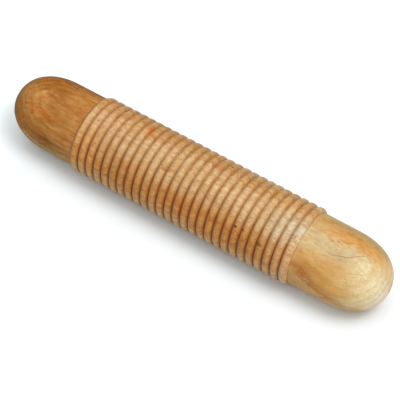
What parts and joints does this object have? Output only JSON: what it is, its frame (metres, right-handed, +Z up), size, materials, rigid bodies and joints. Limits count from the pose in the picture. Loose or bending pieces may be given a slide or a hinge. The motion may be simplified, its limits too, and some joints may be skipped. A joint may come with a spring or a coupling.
{
  "type": "wooden guiro",
  "caption": "Hand-held wooden guiro: a turned cylinder with a ribbed middle, domed plain ends and a milled sound slot along its underside.",
  "frame": {"origin": "on the floor under the middle of the body, in the plane of the eased slot rims", "axes": "+X along the body from the darker lacquered end to the lighter one, +Y away from the side that the picture shows, +Z up, with the sound slot facing down"},
  "size_m": [0.3, 0.0576, 0.0553],
  "materials": {
    "wood": "gloss lacquer on the plain ends, bare scraped wood on the ribs and in the slot"
  },
  "bodies": {
    "root": {"guiro_body": "wood"}
  },
  "joints": []
}
